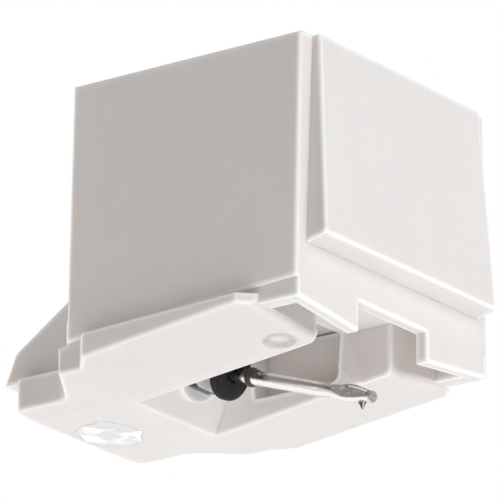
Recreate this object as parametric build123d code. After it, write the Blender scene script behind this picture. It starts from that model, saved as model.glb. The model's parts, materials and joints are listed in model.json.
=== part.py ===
"""Moving-magnet turntable cartridge: a generator with a slide-on stylus unit.

Millimetres. Front is -Y, the cartridge's right side is -X, up is +Z.
The origin is the centre of the top mounting face.
"""
import os
from math import cos, radians, sin, sqrt

from build123d import *

# Run-over of a cut past the face it opens
OVERCUT = 1.0

# Stylus shell: the moulded box
BOX_LENGTH = 12.9
BOX_HALF_TOP = 7.2
SIDE_TAPER = 0.3
BOX_HALF_LOW = BOX_HALF_TOP + SIDE_TAPER
FRONT_Y = -BOX_LENGTH / 2
REAR_Y = BOX_LENGTH / 2
FRONT_WALL = 1.0
LIP_WALL = 0.6
REAR_EDGE_RADIUS = 0.35
FRONT_EDGE_RADIUS = 0.15
EDGE_BREAK = 0.1
SIDE_WALL = 0.8
CAVITY_HALF = BOX_HALF_TOP - SIDE_WALL
CHEEK_LOW_FRONT = -11.6
CHEEK_LOW_REAR = -12.45
CHEEK_STEP = 0.2
LOWER_HALF = BOX_HALF_LOW - CHEEK_STEP
FLOOR_TOP = -11.3
FRONT_LOW_CORNER = -12.55
FRONT_LOW_MIDDLE = -13.0
NOTCH_HALF = 2.65
NOTCH_TOP = -11.58

# Stylus shell: raised front panel
PANEL_HALF_TOP = BOX_HALF_TOP - 0.95
PANEL_HALF_LOW = BOX_HALF_LOW - 0.85
PANEL_TOP_THICK = 0.42
PANEL_LOW_THICK = 1.05
PANEL_LOW = -9.6
PANEL_UNDERCUT = 0.28
PANEL_EDGE_RADIUS = 0.12

# Stylus shell: base plate, tail and underside
BAND_OUT = 0.95
BAND_HALF = LOWER_HALF + BAND_OUT
BAND_TOP_REAR = -12.45
BAND_TOP_FRONT = -12.1
BAND_REAR = REAR_Y - 1.6
BAND_FRONT = FRONT_Y + 2.8
BAND_CHAMFER = 0.85
TAIL_HALF = 4.83
TAIL_LENGTH = 4.85
SHOULDER_START = REAR_Y + 0.45
SHOULDER_END = REAR_Y + 1.9
SHOULDER_RADIUS = 0.8
CORNER_RADIUS = 0.35
PLATE_TALL = 3.0
TAIL_TOP = -12.5
UNDERSIDE = -14.2
BEND_Y = REAR_Y - 1.05
PAD_FRONT_Y = FRONT_Y + 2.15
PAD_FRONT_Z = -13.1
RECESS_MARGIN = 0.9
KEEL_HALF = 3.6
KEEL_RISE = 0.12
RIM_RADIUS = 0.15
PAD_FRONT_RADIUS = 0.45
DIMPLE_X = -4.0
DIMPLE_Y = PAD_FRONT_Y + 1.25
DIMPLE_RADIUS = 0.75
DIMPLE_DEPTH = 0.2

# Stylus shell: hopper over the cantilever
HOPPER_HALF_LOW = 3.0
HOPPER_HALF_HIGH = 2.5
HOPPER_REAR_LOW = REAR_Y - 0.72
HOPPER_REAR_HIGH = REAR_Y - 2.15
HOPPER_FRONT = FRONT_Y + LIP_WALL
HOPPER_HIGH_Z = -12.0
POST_HALF = 2.86
POST_LOW = -13.6
POST_REAR = FRONT_Y + 4.9
POST_BEVEL = FRONT_Y + 3.56
POST_LEAN = 0.333
POST_TAPER = 0.3
HOOD_LOW = -10.7
HOOD_TOP = -10.2
HOOD_REAR = REAR_Y - 2.7
VOID_HALF = 3.7
VOID_LOW = -12.95
VOID_REAR = REAR_Y - 3.2
VOID_RADIUS = 0.5
BOSS_RADIUS = 1.6
BOSS_START = -2.6
BOSS_END = -1.6
POLE_ROOM = 0.3

# Generator
GAP = 0.1
GEN_HALF = CAVITY_HALF - GAP
GEN_FRONT = FRONT_Y + FRONT_WALL + 2 * GAP
GEN_REAR = REAR_Y - 0.6
GEN_LOW = FLOOR_TOP + GAP
LID_THICK = 0.8
FOOT_HALF = 4.0
FOOT_LENGTH = 6.25
FOOT_LEAN = 0.55
FOOT_REAR_HEIGHT = 1.3
FOOT_LOW = TAIL_TOP + GAP
FOOT_TOP_Z = -6.9
FOOT_EDGE_RADIUS = 0.3
CHAMBER_HALF = 5.4
CHAMBER_FRONT = FRONT_Y + 2.05
CHAMBER_REAR = REAR_Y - 2.0
CHAMBER_FLOOR = -9.0
SLOT_HALF = 1.15
SLOT_TOP = -9.9
STEP_LOW = HOOD_TOP + GAP

# Terminals
BLOCK_HALF = 4.4
BLOCK_TOP = -1.5
BLOCK_LOW = -6.6
PIN_RADIUS = 0.6
PIN_SHANK_RADIUS = 0.5
PIN_CHAMFER = 0.2
PIN_X = 2.6
PIN_Z_HIGH = -2.5
PIN_Z_LOW = -5.1
PIN_REACH = 3.5
PIN_INSIDE = 1.0
LEAD_RADIUS = 0.06

# Coils and poles
FLANGE_RADIUS = 2.3
COIL_ROOM = 0.1
COIL_X = CHAMBER_HALF - FLANGE_RADIUS - COIL_ROOM
COIL_Y = (CHAMBER_FRONT + CHAMBER_REAR) / 2
CORE_HALF = 0.8
COIL_TOP = -2.0
COIL_LOW = -8.0
BOBBIN_WALL = 0.3
FLANGE_THICK = 0.4
WINDING_RADIUS = 2.2
YOKE_TOP = -1.0
YOKE_LOW = -1.8
STRIP_TOP = -8.2
STRIP_REAR = CHAMBER_REAR - 0.45
STRIP_WIDE = 1.0
POLE_INNER = 1.15
POLE_OUTER = 1.95
POLE_FRONT = REAR_Y - 1.2
POLE_REAR = REAR_Y - 0.2
POLE_LOW = -12.1
FIT = 0.05

# Moving system, along an axis that points forward and down
PIVOT_Y = REAR_Y - 3.8
PIVOT_Z = -12.54
DROOP = 18.6
TIP_Y = FRONT_Y + 1.69
TIP_STATION = (PIVOT_Y - TIP_Y) / cos(radians(DROOP))
SLEEVE_HALF = 1.0
SLEEVE_WALL = 0.2
SLEEVE_START = -4.0
SLEEVE_END = -1.0
SLEEVE_FACE = 0.2
SLEEVE_HOLE = 0.6
SLEEVE_PASS = 5.0
DAMPER_RADIUS = 1.25
DAMPER_THICK = 0.5
DAMPER_CHAMFER = 0.12
STEM_RADIUS = 0.31
STEM_CLEARANCE = 0.05
PLUG_RADIUS = 0.22
PLUG_END = 1.6
TUBE_RADIUS = 0.34
TUBE_START = 0.45
TUBE_END = TIP_STATION - 0.93
FLARE_LENGTH = 0.7
TUBE_SOLID = 0.6
PADDLE_END = TIP_STATION + 0.68
PADDLE_WIDE = 0.96
PADDLE_THICK = 0.5
PADDLE_LIFT = 0.14
PADDLE_ROLL = 25.0
COLLAR_START = 1.16
COLLAR_END = 1.5
COLLAR_RADIUS = 0.5
MAGNET_START = -3.2
MAGNET_END = -1.6
MAGNET_THICK = 0.5
MAGNET_TALL = 0.9
WEB_HALF = 0.1
HUB_RADIUS = 0.45
HUB_START = -3.5
WIRE_RADIUS = 0.06
ANCHOR_START = -3.95
ANCHOR_END = -3.72
ANCHOR_HOLE = 0.26
SHANK_RADIUS = 0.19
SHANK_LENGTH = 0.17
DIAMOND_LENGTH = 0.3
DIAMOND_RADIUS = 0.17
DIAMOND_POINT = 0.02

# Bond spot under the tail
BOND_Y = REAR_Y + 3.05
BOND_HALF_X = 1.65
BOND_HALF_Y = 1.5
BOND_DEPTH = 0.16


def block(x0, x1, y0, y1, z0, z1):
    """Box between two corners."""
    size = Box(x1 - x0, y1 - y0, z1 - z0)
    return Pos((x0 + x1) / 2, (y0 + y1) / 2, (z0 + z1) / 2) * size


def side_prism(points, x0, x1):
    """Prism of a (y, z) outline between two x planes."""
    outline = Polyline(*[(x0, y, z) for y, z in points], close=True)
    return extrude(make_face(outline), x1 - x0, dir=(1, 0, 0))


def front_prism(points, y0, y1):
    """Prism of an (x, z) outline between two y planes."""
    outline = Polyline(*[(x, y0, z) for x, z in points], close=True)
    return extrude(make_face(outline), y1 - y0, dir=(0, 1, 0))


def rim(faces):
    """Edges that border just one of the faces."""
    edges = [edge for face in faces for edge in face.edges()]
    return ShapeList(edge for edge in edges if sum(edge.is_same(other) for other in edges) == 1)


def axis_plane():
    """Plane at the pivot, normal along the cantilever, x across it."""
    forward = (0, -cos(radians(DROOP)), -sin(radians(DROOP)))
    return Plane((0, PIVOT_Y, PIVOT_Z), x_dir=(1, 0, 0), z_dir=forward)


AXIS = axis_plane()


def along(shape, start):
    """Place a shape built on z = 0 at a station along the cantilever."""
    return AXIS * Pos(0, 0, start) * shape


def rod(radius, start, end):
    """Cylinder along the cantilever between two stations."""
    return along(extrude(Circle(radius), end - start), start)


def bar(wide, tall, start, end, x=0.0):
    """Rectangular bar along the cantilever between two stations."""
    return along(Pos(x, 0, 0) * extrude(Rectangle(wide, tall), end - start), start)


def underside_at(y):
    """Height of the underside on the centre line."""
    slope = (PAD_FRONT_Z - UNDERSIDE) / (BEND_Y - PAD_FRONT_Y)
    return UNDERSIDE + max(0.0, BEND_Y - y) * slope


def uprights(walls):
    """The box's tall edges, the front ones first."""
    tall = walls.edges().filter_by(lambda edge: edge.length > BOX_LENGTH / 2)
    return tall.filter_by(lambda edge: abs(edge.tangent_at(0).Z) > 0.9).sort_by(Axis.Y)


def shell_box():
    """Tapered box with an open top and rear, and the cheeks' lower step."""
    walls = front_prism(
        [
            (-BOX_HALF_TOP, 0),
            (BOX_HALF_TOP, 0),
            (BOX_HALF_LOW, FRONT_LOW_CORNER),
            (-BOX_HALF_LOW, FRONT_LOW_CORNER),
        ],
        FRONT_Y,
        REAR_Y,
    )
    rims = walls.faces().sort_by(Axis.Z)[-1].edges().filter_by(Axis.Y)
    walls = chamfer(rims, EDGE_BREAK)
    walls = fillet(uprights(walls)[-2:], REAR_EDGE_RADIUS)
    walls = fillet(uprights(walls)[:2], FRONT_EDGE_RADIUS)
    for side in (-1, 1):
        low = [
            (FRONT_Y - OVERCUT, CHEEK_LOW_FRONT),
            (REAR_Y + OVERCUT, CHEEK_LOW_REAR),
            (REAR_Y + OVERCUT, FRONT_LOW_CORNER - OVERCUT),
            (FRONT_Y - OVERCUT, FRONT_LOW_CORNER - OVERCUT),
        ]
        walls -= side_prism(low, *sorted((side * LOWER_HALF, side * (BOX_HALF_LOW + OVERCUT))))
    low = walls.edges().filter_by(lambda edge: (edge @ 0.5).Z < CHEEK_LOW_FRONT)
    cheeks = low.filter_by(lambda edge: abs((edge @ 0.5).X) > LOWER_HALF + CHEEK_STEP / 2)
    walls = fillet(cheeks.sort_by(SortBy.LENGTH)[-2:], EDGE_BREAK)
    walls -= block(-CAVITY_HALF, CAVITY_HALF, FRONT_Y + FRONT_WALL, REAR_Y + OVERCUT, FLOOR_TOP, OVERCUT)
    return walls


def shell_base():
    """Base plate with tail, band, keel and the front recess."""
    half = [
        (TAIL_HALF, REAR_Y + TAIL_LENGTH),
        (TAIL_HALF, SHOULDER_END),
        (LOWER_HALF, SHOULDER_START),
        (LOWER_HALF, BAND_REAR + BAND_CHAMFER),
        (BAND_HALF, BAND_REAR),
        (BAND_HALF, BAND_FRONT),
        (LOWER_HALF, BAND_FRONT - BAND_CHAMFER),
    ]
    outline = half + [(-x, y) for x, y in reversed(half)]
    plan = make_face(Polyline(*[(x, y, UNDERSIDE) for x, y in outline], close=True))
    corners = plan.vertices().sort_by(Axis.Y)
    plan = fillet(corners[-2:], CORNER_RADIUS)
    bends = plan.vertices().filter_by_position(Axis.Y, SHOULDER_END - GAP, SHOULDER_END + GAP)
    plan = fillet(bends, SHOULDER_RADIUS)
    plate = extrude(plan, PLATE_TALL, dir=(0, 0, 1))
    profile = [
        (REAR_Y + TAIL_LENGTH, UNDERSIDE),
        (BEND_Y, UNDERSIDE),
        (PAD_FRONT_Y, PAD_FRONT_Z),
        (PAD_FRONT_Y, BAND_TOP_FRONT),
        (REAR_Y, BAND_TOP_REAR),
        (REAR_Y, TAIL_TOP),
        (REAR_Y + TAIL_LENGTH, TAIL_TOP),
    ]
    plate &= side_prism(profile, -BAND_HALF - OVERCUT, BAND_HALF + OVERCUT)
    slope = (PAD_FRONT_Z - UNDERSIDE) / (BEND_Y - PAD_FRONT_Y)
    for side in (-1, 1):
        reach = BAND_HALF + 1
        wedge = [
            (side * KEEL_HALF, BEND_Y, UNDERSIDE),
            (side * reach, BEND_Y, UNDERSIDE + (reach - KEEL_HALF) * KEEL_RISE),
            (side * reach, BEND_Y, UNDERSIDE - 2 * OVERCUT),
            (side * KEEL_HALF, BEND_Y, UNDERSIDE - 2 * OVERCUT),
        ]
        face = make_face(Polyline(*wedge, close=True))
        plate -= extrude(face, BOX_LENGTH, dir=(0, -1, slope))
        plate -= extrude(face, 2 * TAIL_LENGTH, dir=(0, 1, 0))
    plate -= hopper()
    front = plate.edges().filter_by_position(Axis.Y, PAD_FRONT_Y - 0.01, PAD_FRONT_Y + 0.01)
    toes = front.filter_by(lambda edge: (edge @ 0.5).Z < BAND_TOP_FRONT and abs(edge.tangent_at(0).X) > 0.9)
    plate = fillet(toes, PAD_FRONT_RADIUS)
    reach = PAD_FRONT_Y + PAD_FRONT_RADIUS
    lower = rim(face for face in plate.faces() if face.normal_at().Z < -0.9 or face.center().Y < reach)
    plate = fillet(lower.filter_by(lambda edge: (edge @ 0.5).Z < BAND_TOP_FRONT - 2 * EDGE_BREAK), RIM_RADIUS)
    tops = rim(face for face in plate.faces() if face.normal_at().Z > 0.9)
    return fillet(tops.filter_by(lambda edge: abs((edge @ 0.5).X) > BAND_HALF - 0.01), EDGE_BREAK)


def shell_front():
    """Front wall's V-shaped lower edge and the raised wedge panel."""
    wall = front_prism(
        [
            (-LOWER_HALF, FRONT_LOW_CORNER),
            (-NOTCH_HALF, FRONT_LOW_MIDDLE),
            (NOTCH_HALF, FRONT_LOW_MIDDLE),
            (LOWER_HALF, FRONT_LOW_CORNER),
            (LOWER_HALF, FLOOR_TOP),
            (-LOWER_HALF, FLOOR_TOP),
        ],
        FRONT_Y,
        FRONT_Y + LIP_WALL,
    )
    panel = side_prism(
        [
            (FRONT_Y, 0),
            (FRONT_Y - PANEL_TOP_THICK, 0),
            (FRONT_Y - PANEL_LOW_THICK, PANEL_LOW),
            (FRONT_Y, PANEL_LOW - PANEL_UNDERCUT),
        ],
        -PANEL_HALF_LOW,
        PANEL_HALF_LOW,
    )
    panel &= front_prism(
        [
            (-PANEL_HALF_TOP, 0),
            (PANEL_HALF_TOP, 0),
            (PANEL_HALF_LOW, PANEL_LOW),
            (PANEL_HALF_LOW, PANEL_LOW - OVERCUT),
            (-PANEL_HALF_LOW, PANEL_LOW - OVERCUT),
            (-PANEL_HALF_LOW, PANEL_LOW),
        ],
        FRONT_Y - 2 * PANEL_LOW_THICK,
        FRONT_Y,
    )
    return wall + fillet(panel.faces().sort_by(Axis.Y)[0].edges(), PANEL_EDGE_RADIUS)


def post_gap():
    """Space between the front posts, whose rear parts lean and close in."""
    half = [
        (POST_HALF, FRONT_Y - BOX_LENGTH),
        (POST_HALF, POST_BEVEL),
        (POST_HALF - (VOID_REAR - POST_BEVEL) * POST_TAPER, VOID_REAR),
    ]
    outline = half + [(-x, y) for x, y in reversed(half)]
    plan = make_face(Polyline(*[(x, y, POST_LOW) for x, y in outline], close=True))
    length = (HOOD_LOW - POST_LOW) * sqrt(1 + POST_LEAN**2)
    gap = extrude(plan, length, dir=(0, POST_LEAN, 1))
    return gap & block(-POST_HALF, POST_HALF, HOPPER_FRONT, VOID_REAR, POST_LOW, HOOD_LOW)


def void():
    """Wide space behind the posts, open to the generator above."""
    space = block(-VOID_HALF, VOID_HALF, POST_REAR, VOID_REAR, VOID_LOW, FLOOR_TOP + 2 * OVERCUT)
    edge = space.edges().filter_by(Axis.X).sort_by(lambda edge: (edge @ 0.5).Y + (edge @ 0.5).Z)[0]
    return fillet(edge, VOID_RADIUS)


def hopper():
    """Space under the generator that the cantilever hangs in."""
    low = make_face(
        Polyline(
            (-HOPPER_HALF_LOW, HOPPER_REAR_LOW, UNDERSIDE),
            (HOPPER_HALF_LOW, HOPPER_REAR_LOW, UNDERSIDE),
            (HOPPER_HALF_LOW, HOPPER_FRONT, UNDERSIDE),
            (-HOPPER_HALF_LOW, HOPPER_FRONT, UNDERSIDE),
            close=True,
        )
    )
    high = make_face(
        Polyline(
            (-HOPPER_HALF_HIGH, HOPPER_REAR_HIGH, HOPPER_HIGH_Z),
            (HOPPER_HALF_HIGH, HOPPER_REAR_HIGH, HOPPER_HIGH_Z),
            (HOPPER_HALF_HIGH, HOPPER_FRONT, HOPPER_HIGH_Z),
            (-HOPPER_HALF_HIGH, HOPPER_FRONT, HOPPER_HIGH_Z),
            close=True,
        )
    )
    space = loft([low, high])
    below = block(
        -HOPPER_HALF_LOW, HOPPER_HALF_LOW, HOPPER_FRONT, HOPPER_REAR_LOW, UNDERSIDE - OVERCUT, UNDERSIDE
    )
    return space + below


def front_lip(shell):
    """Lower edges of the front wall and the notch's front edges."""
    front = shell.edges().filter_by_position(Axis.Y, FRONT_Y - 0.01, FRONT_Y + 0.01)
    low = front.filter_by(lambda edge: (edge @ 0.5).Z < NOTCH_TOP + 0.01)
    return low.filter_by(lambda edge: abs((edge @ 0.5).X) < LOWER_HALF - 2 * EDGE_BREAK)


def post_rounds():
    """Corner pieces to take off, so that the posts' front edges are round."""
    middle = POST_HALF + RIM_RADIUS
    rear = PAD_FRONT_Y + RIM_RADIUS
    piece = block(POST_HALF, middle, PAD_FRONT_Y, rear, FRONT_LOW_CORNER, HOOD_LOW)
    piece -= Pos(middle, rear, FRONT_LOW_CORNER) * extrude(Circle(RIM_RADIUS), HOOD_LOW - FRONT_LOW_CORNER)
    return piece + mirror(piece, Plane.YZ)


def stylus_shell():
    """The off-white moulding that carries the moving system."""
    floor = block(-LOWER_HALF, LOWER_HALF, FRONT_Y + FRONT_WALL / 2, REAR_Y, BAND_TOP_REAR, FLOOR_TOP)
    hood = block(-CAVITY_HALF, CAVITY_HALF, FRONT_Y + FRONT_WALL / 2, HOOD_REAR, BAND_TOP_REAR, HOOD_TOP)
    shell = shell_box() + floor + hood + shell_base() + shell_front()
    inside = LOWER_HALF - RECESS_MARGIN
    shell -= block(-inside, inside, FRONT_Y + LIP_WALL, PAD_FRONT_Y, UNDERSIDE - OVERCUT, HOOD_LOW)
    for space in (post_gap(), post_rounds(), void(), hopper()):
        shell -= space
    shell -= block(-NOTCH_HALF, NOTCH_HALF, FRONT_Y - OVERCUT, GEN_FRONT, UNDERSIDE, NOTCH_TOP)
    boss = rod(BOSS_RADIUS, BOSS_START, BOSS_END)
    shell += boss & block(-BOSS_RADIUS, BOSS_RADIUS, FRONT_Y, REAR_Y, UNDERSIDE + GAP, FLOOR_TOP)
    shell -= bar(2 * SLEEVE_HALF, 2 * SLEEVE_HALF, SLEEVE_START - SLEEVE_PASS, SLEEVE_END)
    legs = POLE_OUTER + POLE_ROOM
    leg_low = POLE_LOW - POLE_ROOM
    shell -= block(-legs, legs, POLE_FRONT - POLE_ROOM, REAR_Y + OVERCUT, leg_low, FLOOR_TOP + OVERCUT)
    shell = fillet(front_lip(shell), EDGE_BREAK)
    keel = (abs(DIMPLE_X) - KEEL_HALF) * KEEL_RISE
    ball = (DIMPLE_RADIUS**2 + DIMPLE_DEPTH**2) / (2 * DIMPLE_DEPTH)
    shell -= Pos(DIMPLE_X, DIMPLE_Y, underside_at(DIMPLE_Y) + keel + DIMPLE_DEPTH - ball) * Sphere(ball)
    return shell


def generator_body():
    """Moulded housing for the coils, with the sloped foot over the tail."""
    body = block(-GEN_HALF, GEN_HALF, GEN_FRONT, GEN_REAR, GEN_LOW, -LID_THICK)
    foot_rear = REAR_Y + FOOT_LENGTH
    foot = side_prism(
        [
            (GEN_REAR - 0.5, FOOT_TOP_Z),
            (GEN_REAR, FOOT_TOP_Z),
            (foot_rear - FOOT_LEAN, FOOT_LOW + FOOT_REAR_HEIGHT),
            (foot_rear, FOOT_LOW),
            (REAR_Y + GAP, FOOT_LOW),
            (REAR_Y + GAP, GEN_LOW),
            (GEN_REAR - 0.5, GEN_LOW),
        ],
        -FOOT_HALF,
        FOOT_HALF,
    )
    slant = foot.faces().sort_by(Axis.Y)[-1].edges().filter_by(lambda edge: abs(edge.tangent_at(0).X) < 0.1)
    body += fillet(slant, FOOT_EDGE_RADIUS)
    body -= block(-CHAMBER_HALF, CHAMBER_HALF, CHAMBER_FRONT, CHAMBER_REAR, CHAMBER_FLOOR, OVERCUT)
    body -= block(-BLOCK_HALF, BLOCK_HALF, CHAMBER_REAR - OVERCUT, GEN_REAR + OVERCUT, BLOCK_LOW, BLOCK_TOP)
    body -= block(-SLOT_HALF, SLOT_HALF, GEN_FRONT - OVERCUT, REAR_Y + 0.5, FOOT_LOW - OVERCUT, SLOT_TOP)
    body -= block(-GEN_HALF, GEN_HALF, GEN_FRONT, HOOD_REAR + GAP, GEN_LOW, STEP_LOW)
    for side in (-1, 1):
        x0, x1 = sorted((side * SLOT_HALF, side * (POLE_OUTER + FIT)))
        body -= block(x0, x1, CHAMBER_REAR - OVERCUT, POLE_REAR + FIT, FOOT_LOW - OVERCUT, STRIP_TOP + FIT)
    return body


def generator_lid():
    """Flat cover whose top is the mounting face."""
    return block(-GEN_HALF, GEN_HALF, GEN_FRONT, GEN_REAR, -LID_THICK, 0)


def terminal_block():
    """Insulating plate that the four pins are pressed into."""
    plate = block(-BLOCK_HALF, BLOCK_HALF, CHAMBER_REAR, GEN_REAR, BLOCK_LOW, BLOCK_TOP)
    for x in (-PIN_X, PIN_X):
        for z in (PIN_Z_HIGH, PIN_Z_LOW):
            plate -= y_rod(x, z, PIN_SHANK_RADIUS, CHAMBER_REAR - OVERCUT, GEN_REAR + OVERCUT)
    return plate


def y_rod(x, z, radius, y0, y1):
    """Cylinder along Y."""
    face = Plane((x, y0, z), x_dir=(1, 0, 0), z_dir=(0, 1, 0)) * Circle(radius)
    return extrude(face, y1 - y0, dir=(0, 1, 0))


def terminal_pin(x, z):
    """Contact pin with a bevelled outer end and a thinner pressed-in shank."""
    pin = y_rod(x, z, PIN_RADIUS, GEN_REAR, GEN_REAR + PIN_REACH)
    pin = chamfer(pin.faces().sort_by(Axis.Y)[-1].edges(), PIN_CHAMFER)
    return pin + y_rod(x, z, PIN_SHANK_RADIUS, CHAMBER_REAR - PIN_INSIDE, GEN_REAR)


def coil_lead(x, z):
    """Fine wire from a pin to its winding."""
    side = 1 if x > 0 else -1
    offset = abs(x) - COIL_X
    front = COIL_Y + sqrt(WINDING_RADIUS**2 - offset**2)
    return y_rod(side * abs(x), z, LEAD_RADIUS, front, CHAMBER_REAR - PIN_INSIDE)


def pole_piece(side):
    """Core limb, strip and pole leg of one channel."""
    inner = COIL_X - CORE_HALF
    outer = COIL_X + CORE_HALF
    front = COIL_Y - CORE_HALF
    bend = STRIP_REAR - STRIP_WIDE
    core = block(inner, outer, front, COIL_Y + CORE_HALF, CHAMBER_FLOOR, YOKE_LOW)
    strip = block(inner, outer, front, STRIP_REAR, CHAMBER_FLOOR, STRIP_TOP)
    cross = block(POLE_INNER, outer, bend, STRIP_REAR, CHAMBER_FLOOR, STRIP_TOP)
    reach = block(POLE_INNER, POLE_OUTER, bend, POLE_REAR, CHAMBER_FLOOR, STRIP_TOP)
    leg = block(POLE_INNER, POLE_OUTER, POLE_FRONT, POLE_REAR, POLE_LOW, STRIP_TOP)
    piece = core + strip + cross + reach + leg
    return piece if side > 0 else mirror(piece, Plane.YZ)


def coil_bobbin(side):
    """Square-bored spool around a core."""
    hole = CORE_HALF + FIT
    outer = hole + BOBBIN_WALL
    spool = block(-outer, outer, -outer, outer, COIL_LOW, COIL_TOP)
    for z in (COIL_LOW, COIL_TOP - FLANGE_THICK):
        spool += Pos(0, 0, z) * extrude(Circle(FLANGE_RADIUS), FLANGE_THICK)
    spool -= block(-hole, hole, -hole, hole, COIL_LOW - OVERCUT, COIL_TOP + OVERCUT)
    return Pos(side * COIL_X, COIL_Y, 0) * spool


def coil_winding(side):
    """Copper winding between the spool's flanges."""
    outer = CORE_HALF + FIT + BOBBIN_WALL
    low = COIL_LOW + FLANGE_THICK
    high = COIL_TOP - FLANGE_THICK
    coil = Pos(0, 0, low) * extrude(Circle(WINDING_RADIUS), high - low)
    coil -= block(-outer, outer, -outer, outer, low - OVERCUT, high + OVERCUT)
    return Pos(side * COIL_X, COIL_Y, 0) * coil


def yoke():
    """Return strip that joins the two cores."""
    reach = COIL_X + CORE_HALF
    return block(-reach, reach, COIL_Y - CORE_HALF, COIL_Y + CORE_HALF, YOKE_LOW, YOKE_TOP)


def suspension_sleeve():
    """Square metal tube with a pierced front that plugs between the pole legs."""
    inner = 2 * (SLEEVE_HALF - SLEEVE_WALL)
    tube = bar(2 * SLEEVE_HALF, 2 * SLEEVE_HALF, SLEEVE_START, SLEEVE_END)
    tube -= bar(inner, inner, SLEEVE_START - OVERCUT, SLEEVE_END - SLEEVE_FACE)
    return tube - rod(SLEEVE_HOLE, SLEEVE_END - OVERCUT, SLEEVE_END + OVERCUT)


def wire_anchor():
    """Plate in the rear of the sleeve that holds the tie wire."""
    inner = 2 * (SLEEVE_HALF - SLEEVE_WALL)
    plate = bar(inner, inner, ANCHOR_START, ANCHOR_END)
    return plate - rod(ANCHOR_HOLE, ANCHOR_START - OVERCUT, ANCHOR_END + OVERCUT)


def damper():
    """Rubber ring that the cantilever pivots in."""
    ring = rod(DAMPER_RADIUS, -DAMPER_THICK / 2, DAMPER_THICK / 2)
    ring = chamfer(ring.edges().filter_by(GeomType.CIRCLE), DAMPER_CHAMFER)
    return ring - rod(STEM_RADIUS + STEM_CLEARANCE, -OVERCUT, OVERCUT)


def magnet_carrier():
    """Stem through the damper, with a web between the magnets."""
    stem = rod(STEM_RADIUS, MAGNET_END, TUBE_START)
    stem += rod(PLUG_RADIUS, TUBE_START, PLUG_END)
    stem += bar(2 * WEB_HALF, MAGNET_TALL, MAGNET_START, MAGNET_END)
    stem += rod(HUB_RADIUS, HUB_START, MAGNET_START)
    return stem - rod(WIRE_RADIUS, HUB_START - OVERCUT, MAGNET_START)


def magnet(side):
    """Bar magnet beside the carrier's web."""
    x = side * (WEB_HALF + MAGNET_THICK / 2)
    return bar(MAGNET_THICK, MAGNET_TALL, MAGNET_START, MAGNET_END, x)


def tie_wire():
    """Fine steel wire from the carrier back to the anchor."""
    return rod(WIRE_RADIUS, ANCHOR_START, MAGNET_START)


def stop_collar():
    """Thin ring on the cantilever in front of the damper."""
    ring = rod(COLLAR_RADIUS, COLLAR_START, COLLAR_END)
    return ring - rod(TUBE_RADIUS, COLLAR_START - OVERCUT, COLLAR_END + OVERCUT)


def cantilever_tube():
    """Aluminium tube whose flattened front end is rolled to one side."""
    tube = rod(TUBE_RADIUS, TUBE_START, TUBE_END)
    tube -= rod(PLUG_RADIUS, TUBE_START - OVERCUT, TUBE_END - TUBE_SOLID)
    flare = TUBE_END + FLARE_LENGTH
    end = along(Circle(TUBE_RADIUS), TUBE_END)
    section = Pos(0, PADDLE_LIFT) * Rot(0, 0, PADDLE_ROLL) * SlotOverall(PADDLE_WIDE, PADDLE_THICK)
    flat = along(section, flare)
    taper = loft([end.face(), flat.face()])
    paddle = along(extrude(section, PADDLE_END - flare), flare)
    return tube + taper + paddle


def tip_seat():
    """Height of the paddle's underside above the tip."""
    middle = PIVOT_Z - TIP_STATION * sin(radians(DROOP))
    sole = PADDLE_THICK / 2 / cos(radians(PADDLE_ROLL))
    return middle + (PADDLE_LIFT - sole) / cos(radians(DROOP))


def tip_shank():
    """Short upright shank under the paddle."""
    low = tip_seat() - SHANK_LENGTH
    shank = Pos(0, TIP_Y, low) * extrude(Circle(SHANK_RADIUS), SHANK_LENGTH + PADDLE_THICK / 2)
    return shank - cantilever_tube()


def diamond_tip():
    """Conical diamond at the end of the shank."""
    low = tip_seat() - SHANK_LENGTH - DIAMOND_LENGTH
    cone = Cone(DIAMOND_POINT, DIAMOND_RADIUS, DIAMOND_LENGTH)
    return Pos(0, TIP_Y, low + DIAMOND_LENGTH / 2) * cone


def bond_spot():
    """Clear dab of adhesive under the tail."""
    dab = extrude(Ellipse(BOND_HALF_X, BOND_HALF_Y), BOND_DEPTH)
    dab = chamfer(dab.edges().sort_by(Axis.Z)[0], BOND_DEPTH / 2)
    return Pos(0, BOND_Y, UNDERSIDE - BOND_DEPTH) * dab


def build():
    """Every node by name."""
    nodes = {
        "generator_body": generator_body(),
        "generator_lid": generator_lid(),
        "terminal_block": terminal_block(),
        "yoke": yoke(),
        "stylus_shell": stylus_shell(),
        "suspension_sleeve": suspension_sleeve(),
        "wire_anchor": wire_anchor(),
        "bond_spot": bond_spot(),
        "damper": damper(),
        "cantilever_tube": cantilever_tube(),
        "magnet_carrier": magnet_carrier(),
        "tie_wire": tie_wire(),
        "stop_collar": stop_collar(),
        "tip_shank": tip_shank(),
        "diamond_tip": diamond_tip(),
    }
    for name, side in (("left", 1), ("right", -1)):
        nodes["pole_piece_" + name] = pole_piece(side)
        nodes["coil_bobbin_" + name] = coil_bobbin(side)
        nodes["coil_winding_" + name] = coil_winding(side)
        nodes["magnet_" + name] = magnet(side)
        for level, z in (("upper", PIN_Z_HIGH), ("lower", PIN_Z_LOW)):
            nodes["terminal_pin_" + name + "_" + level] = terminal_pin(side * PIN_X, z)
            nodes["coil_lead_" + name + "_" + level] = coil_lead(side * PIN_X, z)
    return nodes


if __name__ == "__main__":
    os.makedirs("parts", exist_ok=True)
    for node, shape in build().items():
        export_step(shape, os.path.join("parts", node + ".step"))
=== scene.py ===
"""Looks of a moving-magnet cartridge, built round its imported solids.

Metres. Front is -Y, the cartridge's right side is -X, up is +Z.
"""
import json
import math

import bpy
import numpy as np
from bpy.props import FloatProperty, FloatVectorProperty, IntProperty, PointerProperty
from mathutils import Matrix, Vector


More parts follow.
